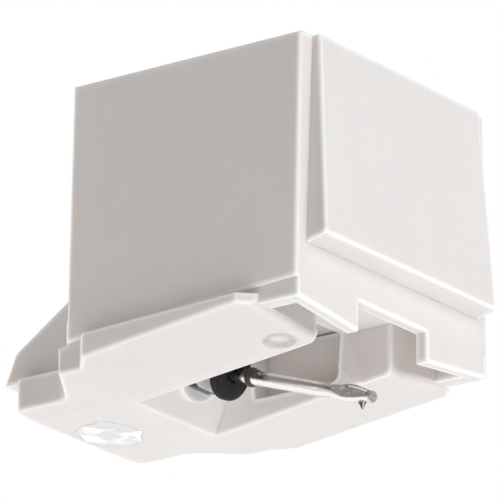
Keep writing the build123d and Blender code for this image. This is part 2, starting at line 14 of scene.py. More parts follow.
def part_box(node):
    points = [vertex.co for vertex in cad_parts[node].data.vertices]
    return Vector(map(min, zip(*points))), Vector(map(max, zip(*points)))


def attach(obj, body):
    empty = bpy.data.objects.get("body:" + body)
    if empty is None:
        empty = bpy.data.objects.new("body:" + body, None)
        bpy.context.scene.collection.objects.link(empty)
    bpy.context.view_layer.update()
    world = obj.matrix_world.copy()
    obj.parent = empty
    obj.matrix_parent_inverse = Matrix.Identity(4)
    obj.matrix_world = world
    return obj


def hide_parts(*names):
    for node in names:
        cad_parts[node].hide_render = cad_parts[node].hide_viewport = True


bl_info = {
    "name": "Cartridge Looks",
    "version": (1, 0, 0),
    "blender": (4, 5, 0),
    "location": "View3D > Sidebar > Cartridge",
    "description": "Dresses the solids of a phono cartridge with fine pieces and finishes",
    "category": "Object",
}

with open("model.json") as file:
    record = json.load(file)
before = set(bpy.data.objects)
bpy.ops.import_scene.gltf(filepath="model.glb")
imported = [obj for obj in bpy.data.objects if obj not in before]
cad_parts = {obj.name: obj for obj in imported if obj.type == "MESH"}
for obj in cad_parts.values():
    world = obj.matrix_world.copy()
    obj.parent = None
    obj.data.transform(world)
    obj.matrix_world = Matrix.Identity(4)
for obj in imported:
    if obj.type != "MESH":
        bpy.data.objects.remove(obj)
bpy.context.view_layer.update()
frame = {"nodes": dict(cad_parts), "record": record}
MM = 0.001

# Stain and painted shade on the tube: start and full strength along Y in metres, side on the ramp, colour
TUBE_STAINS_AND_PAINTED_SHADE = (
    # a dark stain behind the stop ring
    (0.0002, 0.0006, (0.5, 0.62), (0.17, 0.16, 0.13)),
    # painted shade: dulls the reflection along the spoon's upper side
    (-0.0024, -0.0033, (0.55, 0.66), (0.34, 0.33, 0.3)),
    # painted shade: darkens the spoon's nose and its end face
    (-0.0051, -0.0053, (0.0, 0.3), (0.36, 0.35, 0.34)),
)
# Painted reflection round the tube: shades from its lower side at 0 to its upper side at 1
TUBE_PAINTED_REFLECTION = (
    (0.0, 0.5), (0.1, 0.75), (0.2, 1.0), (0.425, 1.0), (0.45, 0.85), (0.52, 0.67), (0.592, 0.8),
    (0.66, 0.95), (0.72, 0.92), (0.78, 0.74), (0.84, 0.51), (0.895, 0.77), (0.925, 1.0),
)
# Painted shade of the sleeve, from its upper side at 0 to its lower side at 1, which is painted dark
SLEEVE_PAINTED_SHADE = ((0.0, 1.0), (0.62, 1.0), (0.7, 0.06), (1.0, 0.03))
# Painted light on the tip stone: its shades, with a painted highlight at the top, and the direction that the
# painted highlight faces
STONE_PAINTED_LIGHT = ((0.0, 0.6), (0.9, 0.35), (0.955, 1.0), (0.985, 11.0))
STONE_HIGHLIGHT_FACING = (-0.46, -0.773, -0.437)
# Middle of the moulding dimple, its floor's radius and its rim's radius, in metres
DIMPLE = (-0.004, -0.00305, -0.0132)
DIMPLE_FLOOR = 0.0004
DIMPLE_RIM = 0.00085
# Painted light on the shell's outer edges, paler where light comes through: how far in they reach, how open
# the edge is at full strength, the gain
EDGE_REACH = 0.24 * MM
EDGE_OPEN = 0.62
EDGE_GAIN = 1.32
# Depth that light bleeds through the shell's plastic
BLEED_DEPTH = 0.3 * MM
# Part of a noise value, from low to high, that ramps are spread over
NOISE_LOW = 0.3
NOISE_HIGH = 0.7
# Powers of a section's cosine and sine: sharp and soft square, and round
SQUARE = 0.15
SOFT_SQUARE = 0.3
ROUND = 1.0
# Softened edges of the sleeve and the anchor plate
SLEEVE_SOFT = 0.04 * MM
ANCHOR_SOFT = 0.02 * MM
# Lengths of the spoon back from its end: where it starts to flatten and over what length, its nose,
# and where the dish starts and stops, each with its run
FLAT_FROM = 3.0 * MM
FLAT_RUN = 1.6 * MM
NOSE_RUN = 1.4 * MM
DISH_FROM = 2.2 * MM
DISH_RUN = 0.7 * MM
DISH_STOP = 0.5 * MM
DISH_STOP_RUN = 0.3 * MM
# Shares by which the spoon's flat end face is closed
END_RINGS = (0.97, 0.9, 0.86)
# Waves of the adhesive dab's rim: height, count round, phase
DAB_WAVES = ((0.08, 2.0, 0.6), (0.05, 5.0, 2.1), (0.04, 9.0, 0.0), (0.03, 14.0, 1.0))
DAB_RIM = 1.04
DAB_FILM = 0.3
# Lumps of the adhesive dab: place across and along, width, height, as shares of the dab
DAB_SPOTS = (
    (-0.45, 0.35, 0.3, 0.6), (-0.2, -0.5, 0.22, 0.7), (0.3, 0.25, 0.25, 0.55), (0.5, -0.35, 0.2, 0.5),
    (0.0, 0.7, 0.18, 0.5), (0.05, -0.1, 0.16, 0.45), (-0.7, -0.15, 0.2, 0.5),
)
# Point that the lamps face, and half the floor's width
LAMP_AIM = (0.0, 0.0, -8.0 * MM)
FLOOR_REACH = 2.0


def node_middle(name):
    """Middle of a solid's box."""
    low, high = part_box(name)
    return [(a + b) / 2 for a, b in zip(low, high)]


class CartridgeSizes(bpy.types.PropertyGroup):
    """Sizes of the fine pieces."""

    droop: FloatProperty(
        name="Droop", description="Fall of the cantilever below level",
        default=math.radians(18.6), subtype="ANGLE",
    )
    pivot: FloatVectorProperty(
        name="Pivot", description="Middle of the damper", size=3, precision=5,
        default=(0.0, 2.65 * MM, -12.54 * MM), subtype="TRANSLATION", unit="LENGTH",
    )
    tube_radius: FloatProperty(
        name="Tube radius", description="Outer radius of the cantilever", precision=5,
        default=0.34 * MM, unit="LENGTH",
    )
    tube_start: FloatProperty(
        name="Tube start", description="Station of the tube's rear end", precision=5,
        default=0.45 * MM, unit="LENGTH",
    )
    tube_end: FloatProperty(
        name="Spoon end", description="Station of the flattened front end", precision=5,
        default=8.44 * MM, unit="LENGTH",
    )
    spoon_wide: FloatProperty(
        name="Spoon width", description="Width of the flattened end", precision=5,
        default=0.96 * MM, unit="LENGTH",
    )
    spoon_lift: FloatProperty(
        name="Spoon lift", description="Height of the spoon's middle above the axis", precision=5,
        default=0.05 * MM, unit="LENGTH",
    )
    spoon_thick: FloatProperty(
        name="Spoon thickness", description="Thickness of the spoon over its rims", precision=5,
        default=0.5 * MM, unit="LENGTH",
    )
    spoon_roll: FloatProperty(
        name="Spoon roll", description="Turn of the spoon about the cantilever",
        default=math.radians(57.0), subtype="ANGLE",
    )
    spoon_dish: FloatProperty(
        name="Spoon dish", description="Depth of the hollow between the rims", precision=5,
        default=0.17 * MM, unit="LENGTH",
    )
    damper_radius: FloatProperty(
        name="Damper radius", description="Outer radius of the rubber ring", precision=5,
        default=1.25 * MM, unit="LENGTH",
    )
    damper_thick: FloatProperty(
        name="Damper thickness", description="Thickness of the rubber ring", precision=5,
        default=0.5 * MM, unit="LENGTH",
    )
    damper_hole: FloatProperty(
        name="Damper hole", description="Radius of the ring's hole", precision=5,
        default=0.33 * MM, unit="LENGTH",
    )
    collar_radius: FloatProperty(
        name="Stop ring radius", description="Outer radius of the stop ring", precision=5,
        default=0.46 * MM, unit="LENGTH",
    )
    collar_start: FloatProperty(
        name="Stop ring start", description="Station of the stop ring's rear face", precision=5,
        default=1.2 * MM, unit="LENGTH",
    )
    collar_end: FloatProperty(
        name="Stop ring end", description="Station of the stop ring's front face", precision=5,
        default=1.4 * MM, unit="LENGTH",
    )
    collar_tongue: FloatProperty(
        name="Glue tongue", description="Length of the glue in front of the stop ring", precision=5,
        default=0.4 * MM, unit="LENGTH",
    )
    sleeve_half: FloatProperty(
        name="Sleeve half width", description="Half of the sleeve's square section", precision=5,
        default=1.0 * MM, unit="LENGTH",
    )
    sleeve_wall: FloatProperty(
        name="Sleeve wall", description="Thickness of the sleeve's sides and front", precision=5,
        default=0.2 * MM, unit="LENGTH",
    )
    sleeve_start: FloatProperty(
        name="Sleeve start", description="Station of the sleeve's rear end", precision=5,
        default=-4.0 * MM, unit="LENGTH",
    )
    sleeve_end: FloatProperty(
        name="Sleeve end", description="Station of the sleeve's front face", precision=5,
        default=-1.0 * MM, unit="LENGTH",
    )
    sleeve_hole: FloatProperty(
        name="Sleeve hole", description="Radius of the hole in the sleeve's front", precision=5,
        default=0.41 * MM, unit="LENGTH",
    )
    anchor_start: FloatProperty(
        name="Anchor start", description="Station of the anchor plate's rear", precision=5,
        default=-3.95 * MM, unit="LENGTH",
    )
    anchor_end: FloatProperty(
        name="Anchor end", description="Station of the anchor plate's front", precision=5,
        default=-3.72 * MM, unit="LENGTH",
    )
    anchor_hole: FloatProperty(
        name="Anchor hole", description="Radius of the hole that the tie wire swings in", precision=5,
        default=0.31 * MM, unit="LENGTH",
    )
    winding_radius: FloatProperty(
        name="Winding radius", description="Outer radius of a coil", precision=5,
        default=2.2 * MM, unit="LENGTH",
    )
    winding_bore: FloatProperty(
        name="Winding bore", description="Inner radius of a coil", precision=5,
        default=1.63 * MM, unit="LENGTH",
    )
    winding_turns: IntProperty(
        name="Turns shown", description="Turns along a coil's outer layer", default=52,
    )


class CartridgeColours(bpy.types.PropertyGroup):
    """Colours of the finishes."""

    shell: FloatVectorProperty(
        name="Shell", description="Off-white moulded plastic", size=3,
        default=(0.80, 0.752, 0.726), subtype="COLOR",
    )
    cantilever: FloatVectorProperty(
        name="Cantilever", description="Bright aluminium", size=3,
        default=(0.95, 0.94, 0.93), subtype="COLOR",
    )
    rubber: FloatVectorProperty(
        name="Rubber", description="Damper rubber", size=3,
        default=(0.012, 0.010, 0.010), subtype="COLOR",
    )
    sleeve: FloatVectorProperty(
        name="Sleeve", description="Bright plated sleeve", size=3,
        default=(0.99, 0.98, 0.97), subtype="COLOR",
    )
    pin: FloatVectorProperty(
        name="Pins", description="Gold flash", size=3,
        default=(0.83, 0.66, 0.36), subtype="COLOR",
    )
    copper: FloatVectorProperty(
        name="Copper", description="Enamelled wire", size=3,
        default=(0.62, 0.27, 0.12), subtype="COLOR",
    )
    diamond: FloatVectorProperty(
        name="Diamond", description="Tip stone", size=3,
        default=(0.06, 0.056, 0.052), subtype="COLOR",
    )


class CartridgeStage(bpy.types.PropertyGroup):
    """Camera and lamps."""

    focal: FloatProperty(name="Focal length", description="Lens in mm", default=576.0)
    azimuth: FloatProperty(
        name="Azimuth", description="Camera's turn from the front",
        default=math.radians(-53.635), subtype="ANGLE",
    )
    elevation: FloatProperty(
        name="Elevation", description="Camera's height angle",
        default=math.radians(-19.129), subtype="ANGLE",
    )
    roll: FloatProperty(
        name="Roll", description="Camera's tilt", default=math.radians(0.371), subtype="ANGLE",
    )
    distance: FloatProperty(
        name="Distance", description="Camera to the aim point", default=366.13 * MM, unit="LENGTH",
    )
    aim: FloatVectorProperty(
        name="Aim", description="Point the camera is set about", size=3, precision=5,
        default=(0.0, 2.0 * MM, -7.0 * MM), subtype="TRANSLATION", unit="LENGTH",
    )
    slide: FloatVectorProperty(
        name="Slide", description="Camera's shift across and up", size=2, precision=5,
        default=(0.345 * MM, 0.274 * MM),
    )
    ambient: FloatProperty(name="Ambient", description="Light from all round", default=0.165)
    front_power: FloatProperty(name="Front", description="Lamp in front, in watts", default=2.12)
    below_power: FloatProperty(name="Below", description="Lamp below, in watts", default=1.39)
    rim_power: FloatProperty(name="Rim", description="Lamp behind, in watts", default=2.1)
    edge_power: FloatProperty(name="Edge", description="Small lamp, in watts", default=0.08)
    floor_drop: FloatProperty(
        name="Floor", description="Depth of the floor below the top face",
        default=0.9, unit="LENGTH",
    )


def ease(t):
    """Smooth step from 0 at t = 0 to 1 at t = 1."""
    t = np.clip(t, 0.0, 1.0)
    return t * t * (3.0 - 2.0 * t)


def signed_power(value, power):
    """Value raised to a power with its sign kept."""
    return np.sign(value) * np.abs(value) ** power


def around(count):
    """Angles once round, without the repeated end."""
    return np.linspace(0.0, 2.0 * np.pi, count, endpoint=False)


def on_axis(across, lift, station):
    """Point = pivot + across * X + lift * (normal above the cantilever) + station * (forward)."""
    sizes = bpy.context.scene.cartridge_sizes
    sine = math.sin(sizes.droop)
    cosine = math.cos(sizes.droop)
    across, lift, station = np.broadcast_arrays(across, lift, station)
    pivot = sizes.pivot
    return np.stack(
        [
            pivot[0] + across,
            pivot[1] - lift * sine - station * cosine,
            pivot[2] + lift * cosine - station * sine,
        ],
        axis=-1,
    )


def skin(name, rows, ring=False):
    """Object over an (n, m, 3) array of points whose columns wrap round.

    With ring the rows wrap too; without it each end row is closed by a fan to its mean point.
    """
    n, m, _ = rows.shape
    index = np.arange(n * m).reshape(n, m)
    here = index if ring else index[:-1]
    there = np.roll(index, -1, axis=0) if ring else index[1:]
    quads = np.stack([here, np.roll(here, -1, 1), np.roll(there, -1, 1), there], axis=-1).reshape(-1, 4)
    points = rows.reshape(-1, 3)
    triangles = np.concatenate([quads[:, [0, 1, 2]], quads[:, [0, 2, 3]]])
    faces = quads.tolist()
    if not ring:
        points = np.vstack([points, rows[[0, -1]].mean(axis=1)])
        start = np.stack([np.full(m, n * m), np.roll(index[0], -1), index[0]], axis=-1)
        end = np.stack([np.full(m, n * m + 1), index[-1], np.roll(index[-1], -1)], axis=-1)
        triangles = np.concatenate([triangles, start, end])
        faces += start.tolist() + end.tolist()
    corners = points[triangles] - points.mean(axis=0)
    volume = np.einsum("ij,ij->i", corners[:, 0], np.cross(corners[:, 1], corners[:, 2])).sum()
    mesh = bpy.data.meshes.new(name)
    mesh.from_pydata(points.tolist(), [], faces)
    if volume < 0.0:
        mesh.flip_normals()
    mesh.shade_smooth()
    piece = bpy.data.objects.new(name, mesh)
    bpy.context.scene.collection.objects.link(piece)
    return piece


def upright_rows(x, y, radius, angle, height):
    """Point = (x + radius * cos, y + radius * sin, height) round an upright axis."""
    sides = np.broadcast_arrays(x + radius * np.cos(angle), y + radius * np.sin(angle), height)
    return np.stack(sides, axis=-1)


def turned(name, radius, station, count=72):
    """Ring about the cantilever: a closed (radius, station) profile turned once round the axis."""
    angle = around(count)[None, :]
    rows = on_axis(radius[:, None] * np.cos(angle), radius[:, None] * np.sin(angle), station[:, None])
    return skin(name, rows, ring=True)


def settle(piece, body, slot, material, *nodes):
    """Paint a piece, tie it to its body and let it stand for its solids."""
    piece.data.materials.append(material)
    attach(piece, body)
    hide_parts(*nodes)


def shader(name):
    """New node material: its tree, its principled shader and Object coordinates."""
    material = bpy.data.materials.new(name)
    material.use_nodes = True
    tree = material.node_tree
    principled = tree.nodes["Principled BSDF"]
    coords = tree.nodes.new("ShaderNodeTexCoord").outputs["Object"]
    return material, tree, principled, coords


def stretch(tree, coords, turn, scale):
    """Object coordinates turned and scaled."""
    mapping = tree.nodes.new("ShaderNodeMapping")
    mapping.inputs["Rotation"].default_value = turn
    mapping.inputs["Scale"].default_value = scale
    tree.links.new(coords, mapping.inputs["Vector"])
    return mapping.outputs["Vector"]


def noise(tree, coords, scale, detail=3.0):
    """Noise value at a scale per metre."""
    texture = tree.nodes.new("ShaderNodeTexNoise")
    texture.inputs["Scale"].default_value = scale
    texture.inputs["Detail"].default_value = detail
    tree.links.new(coords, texture.inputs["Vector"])
    return texture.outputs["Fac"]


def tint(tree, value, low, high, socket):
    """Colour ramp from low to high over the middle of a noise value, into a socket."""
    ramp = tree.nodes.new("ShaderNodeValToRGB")
    ramp.color_ramp.elements[0].position = NOISE_LOW
    ramp.color_ramp.elements[0].color = (*low, 1.0)
    ramp.color_ramp.elements[1].position = NOISE_HIGH
    ramp.color_ramp.elements[1].color = (*high, 1.0)
    tree.links.new(value, ramp.inputs["Fac"])
    tree.links.new(ramp.outputs["Color"], socket)


def spread(tree, value, low, high, socket):
    """Number from low to high over the middle of a noise value, into a socket."""
    span = tree.nodes.new("ShaderNodeMapRange")
    span.inputs["From Min"].default_value = NOISE_LOW
    span.inputs["From Max"].default_value = NOISE_HIGH
    span.inputs["To Min"].default_value = low
    span.inputs["To Max"].default_value = high
    tree.links.new(value, span.inputs["Value"])
    tree.links.new(span.outputs["Result"], socket)


def relief(tree, value, strength, depth, principled):
    """Bump from a noise value, depth in metres."""
    bump = tree.nodes.new("ShaderNodeBump")
    bump.inputs["Strength"].default_value = strength
    bump.inputs["Distance"].default_value = depth
    tree.links.new(value, bump.inputs["Height"])
    tree.links.new(bump.outputs["Normal"], principled.inputs["Normal"])


def scaled(colour, factor):
    """Colour times a factor, kept under 1."""
    return tuple(min(1.0, channel * factor) for channel in colour)


def painted_edge_light(tree, colour, socket):
    """Colour of a socket mixed towards a paler one near outer edges: painted light where light comes
    through.

    The share is how much of the half sphere inside the solid is closed off within the edge's reach.
    """
    inside = tree.nodes.new("ShaderNodeAmbientOcclusion")
    inside.inside = True
    inside.only_local = True
    inside.samples = 8
    inside.inputs["Distance"].default_value = EDGE_REACH
    share = tree.nodes.new("ShaderNodeMapRange")
    share.inputs["From Min"].default_value = 1.0
    share.inputs["From Max"].default_value = EDGE_OPEN
    tree.links.new(inside.outputs["AO"], share.inputs["Value"])
    mix = tree.nodes.new("ShaderNodeMixRGB")
    tree.links.new(share.outputs["Result"], mix.inputs["Fac"])
    tree.links.new(socket.links[0].from_socket, mix.inputs["Color1"])
    mix.inputs["Color2"].default_value = (*colour, 1.0)
    tree.links.new(mix.outputs["Color"], socket)


def dimple_relief(tree, coords, socket):
    """Steeper flank for the moulding dimple: height by the distance from its middle."""
    middle = tree.nodes.new("ShaderNodeVectorMath")
    middle.operation = "DISTANCE"
    middle.inputs[1].default_value = DIMPLE
    tree.links.new(coords, middle.inputs[0])
    flank = tree.nodes.new("ShaderNodeMapRange")
    flank.interpolation_type = "SMOOTHSTEP"
    flank.inputs["From Min"].default_value = DIMPLE_FLOOR
    flank.inputs["From Max"].default_value = DIMPLE_RIM
    tree.links.new(middle.outputs["Value"], flank.inputs["Value"])
    bump = tree.nodes.new("ShaderNodeBump")
    bump.inputs["Distance"].default_value = DIMPLE_FLOOR
    tree.links.new(flank.outputs["Result"], bump.inputs["Height"])
    tree.links.new(bump.outputs["Normal"], socket.links[0].from_node.inputs["Normal"])


def moulded_plastic(name, colour, rough=(0.36, 0.46), bleed=0.0):
    """Satin moulding: faint flow marks, uneven gloss, fine grain, light bled through edges and painted light
    on the outer edges.
    """
    material, tree, principled, coords = shader(name)
    flow = noise(tree, stretch(tree, coords, (0.0, 0.3, 0.0), (1.0, 0.6, 0.35)), 420.0)
    tint(tree, flow, scaled(colour, 0.985), scaled(colour, 1.012), principled.inputs["Base Color"])
    spread(tree, noise(tree, coords, 2600.0), *rough, principled.inputs["Roughness"])
    relief(tree, noise(tree, coords, 16000.0, 2.0), 0.12, 0.000004, principled)
    if bleed > 0.0:
        dimple_relief(tree, coords, principled.inputs["Normal"])
        # painted light: paler outer edges
        painted_edge_light(tree, scaled(colour, EDGE_GAIN), principled.inputs["Base Color"])
    principled.inputs["Subsurface Weight"].default_value = bleed
    principled.inputs["Subsurface Radius"].default_value = (1.0, 0.8, 0.65)
    principled.inputs["Subsurface Scale"].default_value = BLEED_DEPTH
    return material


def bare_metal(name, colour, rough, grain=(1.0, 1.0, 1.0), turn=(0.0, 0.0, 0.0), scale=9000.0):
    """Metal with drawn or ground lines: noise stretched along the working direction."""
    material, tree, principled, coords = shader(name)
    lines = noise(tree, stretch(tree, coords, turn, grain), scale, 4.0)
    principled.inputs["Metallic"].default_value = 1.0
    tint(tree, lines, scaled(colour, 0.9), scaled(colour, 1.03), principled.inputs["Base Color"])
    spread(tree, lines, *rough, principled.inputs["Roughness"])
    relief(tree, lines, 0.2, 0.000002, principled)
    return material


def painted_light_by_normal(tree, coords, direction, lines, steps, colour, socket, waver=0.15):
    """Painted light by the surface normal: a ramp of painted shades and highlights over its dot product with
    a direction.

    The place on the ramp is (1 + product) / 2, moved by a noise value so that the steps run unevenly.
    """
    product = tree.nodes.new("ShaderNodeVectorMath")
    product.operation = "DOT_PRODUCT"
    product.inputs[1].default_value = direction
    tree.links.new(coords.node.outputs["Normal"], product.inputs[0])
    place = tree.nodes.new("ShaderNodeMath")
    place.operation = "MULTIPLY_ADD"
    place.inputs[1].default_value = 0.5
    place.inputs[2].default_value = 0.5 - waver / 2
    tree.links.new(product.outputs["Value"], place.inputs[0])
    uneven = tree.nodes.new("ShaderNodeMath")
    uneven.operation = "MULTIPLY_ADD"
    uneven.inputs[1].default_value = waver
    tree.links.new(lines, uneven.inputs[0])
    tree.links.new(place.outputs[0], uneven.inputs[2])
    ramp = tree.nodes.new("ShaderNodeValToRGB")
    elements = ramp.color_ramp.elements
    for spot, _ in steps[2:]:
        elements.new(spot)
    for element, (spot, shade) in zip(elements, steps):
        element.position = spot
        element.color = (*scaled(colour, shade), 1.0)
    tree.links.new(uneven.outputs[0], ramp.inputs["Fac"])
    tree.links.new(ramp.outputs["Color"], socket)


def rising(tree, value, low, high):
    """Share from 0 at a low value to 1 at a high one."""
    span = tree.nodes.new("ShaderNodeMapRange")
    span.inputs["From Min"].default_value = low
    span.inputs["From Max"].default_value = high
    tree.links.new(value, span.inputs["Value"])
    return span.outputs["Result"]


def product_of(tree, first, second):
    """Product of two values."""
    times = tree.nodes.new("ShaderNodeMath")
    times.operation = "MULTIPLY"
    tree.links.new(first, times.inputs[0])
    tree.links.new(second, times.inputs[1])
    return times.outputs[0]


def stain_and_painted_shade(tree, coords, upper, start, full, side, shade, socket):
    """Dark patch over a socket's colour, used for a stain and for painted shade: none at start along Y,
    whole at full, broken up by noise.

    It lies on the side of the tube where the ramp's place is past a pair of values.
    """
    place = tree.nodes.new("ShaderNodeSeparateXYZ")
    tree.links.new(coords, place.inputs[0])
    share = product_of(tree, rising(tree, place.outputs["Y"], start, full), rising(tree, upper, *side))
    share = product_of(tree, share, rising(tree, noise(tree, coords, 5200.0), 0.2, 0.5))
    mix = tree.nodes.new("ShaderNodeMixRGB")
    mix.inputs["Color2"].default_value = (*shade, 1.0)
    tree.links.new(share, mix.inputs["Fac"])
    tree.links.new(socket.links[0].from_socket, mix.inputs["Color1"])
    tree.links.new(mix.outputs["Color"], socket)


def along_tube(droop):
    """Turn that lays a pattern's Z along the cantilever."""
    return (math.pi / 2 - droop, 0.0, 0.0)


def drawn_tube(name, colour, droop):
    """Polished tube with drawn lines and a stain, and painted reflection: painted bright below, painted
    darker along its upper side, with patches of painted shade on the spoon.
    """
    material, tree, principled, coords = shader(name)
    lines = noise(tree, stretch(tree, coords, along_tube(droop), (1.0, 1.0, 0.05)), 9000.0, 4.0)
    above = (-0.35, -math.sin(droop) * 0.94, math.cos(droop) * 0.94)
    base = principled.inputs["Base Color"]
    # painted reflection: shades round the tube by its normal
    painted_light_by_normal(tree, coords, above, lines, TUBE_PAINTED_REFLECTION, colour, base)
    upper = base.links[0].from_node.inputs["Fac"].links[0].from_socket
    # a stain, then patches of painted shade on the spoon
    for start, full, side, shade in TUBE_STAINS_AND_PAINTED_SHADE:
        stain_and_painted_shade(tree, coords, upper, start, full, side, shade, base)
    principled.inputs["Metallic"].default_value = 1.0
    spread(tree, lines, 0.12, 0.22, principled.inputs["Roughness"])
    relief(tree, lines, 0.2, 0.000002, principled)
    return material


def plated_sleeve(name, colour, droop):
    """Bright plating, with painted shade darkening the flank that faces down."""
    material, tree, principled, coords = shader(name)
    lines = noise(tree, coords, 5200.0)
    below = (0.0, math.sin(droop), -math.cos(droop))
    # painted shade: the flank that faces down is painted dark
    painted_light_by_normal(tree, coords, below, lines, SLEEVE_PAINTED_SHADE, colour, principled.inputs["Base Color"])
    principled.inputs["Metallic"].default_value = 0.15
    principled.inputs["Specular IOR Level"].default_value = 0.1
    spread(tree, lines, 0.1, 0.25, principled.inputs["Roughness"])
    relief(tree, lines, 0.3, 0.000006, principled)
    return material


def damper_rubber(name, colour):
    """Dull rubber: fine pitted grain with pale dust in it."""
    material, tree, principled, coords = shader(name)
    pits = noise(tree, coords, 5200.0)
    tint(tree, pits, scaled(colour, 0.8), scaled(colour, 1.5), principled.inputs["Base Color"])
    spread(tree, noise(tree, coords, 3100.0), 0.5, 0.68, principled.inputs["Roughness"])
    principled.inputs["Specular IOR Level"].default_value = 0.3
    relief(tree, noise(tree, coords, 21000.0), 0.35, 0.000008, principled)
    return material


def enamelled_copper(name, colour):
    """Copper under a thin lacquer."""
    material, tree, principled, coords = shader(name)
    tone = noise(tree, coords, 2400.0)
    tint(tree, tone, scaled(colour, 0.8), scaled(colour, 1.15), principled.inputs["Base Color"])
    spread(tree, tone, 0.24, 0.36, principled.inputs["Roughness"])
    principled.inputs["Metallic"].default_value = 0.9
    principled.inputs["Coat Weight"].default_value = 0.6
    principled.inputs["Coat Roughness"].default_value = 0.12
    return material


def ground_stone(name, colour):
    """Dark polished stone with a painted highlight on the face towards the front and side."""
    material, tree, principled, coords = shader(name)
    tone = noise(tree, coords, 3600.0)
    base = principled.inputs["Base Color"]
    # painted highlight on the face towards the front and side
    painted_light_by_normal(tree, coords, STONE_HIGHLIGHT_FACING, tone, STONE_PAINTED_LIGHT, colour, base, waver=0.02)
    spread(tree, tone, 0.04, 0.1, principled.inputs["Roughness"])
    principled.inputs["IOR"].default_value = 2.417
    principled.inputs["Specular IOR Level"].default_value = 0.2
    relief(tree, tone, 0.15, 0.00001, principled)
    return material


def cured_adhesive(name, colour):
    """Clear glossy dab over the pale plastic: milky patches and ripples under a polished coat."""
    material, tree, principled, coords = shader(name)
    tone = noise(tree, coords, 1300.0)
    patches = rising(tree, noise(tree, coords, 900.0), 0.4, 0.66)
    tint(tree, patches, scaled(colour, 0.86), scaled(colour, 1.26), principled.inputs["Base Color"])
    spread(tree, tone, 0.05, 0.12, principled.inputs["Roughness"])
    principled.inputs["Coat Weight"].default_value = 1.0
    principled.inputs["Coat Roughness"].default_value = 0.03
    relief(tree, tone, 0.5, 0.00006, principled)
    return material


def finishes():
    """Material of every slot, made once."""
    colours = bpy.context.scene.cartridge_colours
    droop = bpy.context.scene.cartridge_sizes.droop
    drawn = along_tube(droop)
    upright = (1.0, 1.0, 0.1)
    endwise = (1.0, 0.1, 1.0)
    makers = {
        "shell_plastic": lambda name: moulded_plastic(name, colours.shell, bleed=1.0),
        "terminal_plastic": lambda name: moulded_plastic(name, (0.05, 0.05, 0.053), (0.4, 0.55)),
        "bobbin_plastic": lambda name: moulded_plastic(name, (0.55, 0.50, 0.42), (0.4, 0.55)),
        "carrier_plastic": lambda name: moulded_plastic(name, (0.035, 0.032, 0.032), (0.3, 0.42)),
        "pin_metal": lambda name: bare_metal(name, colours.pin, (0.2, 0.3), endwise),
        "pole_metal": lambda name: bare_metal(name, (0.55, 0.54, 0.52), (0.32, 0.45), upright, scale=4200.0),
        "sleeve_metal": lambda name: plated_sleeve(name, colours.sleeve, droop),
        "wire_steel": lambda name: bare_metal(name, (0.6, 0.6, 0.6), (0.25, 0.35), upright, drawn),
        "cantilever_metal": lambda name: drawn_tube(name, colours.cantilever, droop),
        "shank_metal": lambda name: bare_metal(name, (0.45, 0.44, 0.42), (0.25, 0.38), upright),
        "magnet_material": lambda name: bare_metal(name, (0.10, 0.10, 0.11), (0.45, 0.6), scale=6000.0),
        "copper_wire": lambda name: enamelled_copper(name, colours.copper),
        "damper_rubber": lambda name: damper_rubber(name, colours.rubber),
        "diamond": lambda name: ground_stone(name, colours.diamond),
        "clear_adhesive": lambda name: cured_adhesive(name, (0.80, 0.78, 0.76)),
    }
    names = {slot: "look_" + slot for slot in makers}
    return {slot: bpy.data.materials.get(names[slot]) or make(names[slot]) for slot, make in makers.items()}


class CARTRIDGE_OT_finishes(bpy.types.Operator):
    """Paint every solid with the finish of its slot."""

    bl_idname = "cartridge.finishes"
    bl_label = "Finishes"

    def execute(self, context):
        paint = finishes()
        for part in frame["record"]["subparts"]:
            solid = frame["nodes"][part["node"]]
            solid.data.materials.clear()
            solid.data.materials.append(paint[part["material_slot"]])
        return {"FINISHED"}


def spoon_rows(sizes):
    """Cantilever skin.

    Across = half width * |cos|^p and lift = half height * |sin|^p round the tube, where the station
    eases both halves from the tube's radius to the spoon's and p from 1 to a squarer section. The
    upper half sinks between the rims by a dish with a flat floor. Then the section rolls to one side
    and rises off the axis. The nose narrows and ends in a flat face.
    """
    angle = around(72)[None, :]
    cosine, sine = np.cos(angle), np.sin(angle)
    station = np.linspace(sizes.tube_start, sizes.tube_end, 180)[:, None]
    left = sizes.tube_end - station
    flat = ease((FLAT_FROM - left) / FLAT_RUN)
    nose = ease((NOSE_RUN - left) / NOSE_RUN)
    wide = (sizes.tube_radius + (sizes.spoon_wide / 2 - sizes.tube_radius) * flat) * (1.0 - 0.5 * nose)
    tall = sizes.tube_radius + (sizes.spoon_thick / 2 - sizes.tube_radius) * flat
    power = 1.0 - 0.3 * flat
    across = wide * signed_power(cosine, power)
    lift = tall * signed_power(sine, power)
    dish = sizes.spoon_dish * ease((DISH_FROM - left) / DISH_RUN)
    dish = dish * (1.0 - ease((DISH_STOP - left) / DISH_STOP_RUN))
    hollow = 1.0 - ease((np.abs(across / wide) - 0.45) / 0.4)
    lift = lift - dish * np.clip(sine, 0.0, 1.0) ** 0.5 * hollow
    roll = sizes.spoon_roll * flat
    rolled = across * np.cos(roll) - lift * np.sin(roll)
    lift = across * np.sin(roll) + lift * np.cos(roll)
    rise = sizes.spoon_lift * flat
    outer = on_axis(rolled, lift + rise, station)
    rim = np.array(END_RINGS)[:, None]
    end = on_axis(rolled[-1] * rim, lift[-1] * rim + rise[-1], sizes.tube_end)
    return np.concatenate([outer, end])


class CARTRIDGE_OT_cantilever(bpy.types.Operator):
    """Thin tube with a flattened, dished and rolled front end."""

    bl_idname = "cartridge.cantilever"
    bl_label = "Cantilever"

    def execute(self, context):
        piece = skin("cantilever", spoon_rows(context.scene.cartridge_sizes))
        settle(piece, "cantilever", "cantilever_metal", finishes()["cantilever_metal"], "cantilever_tube")
        return {"FINISHED"}


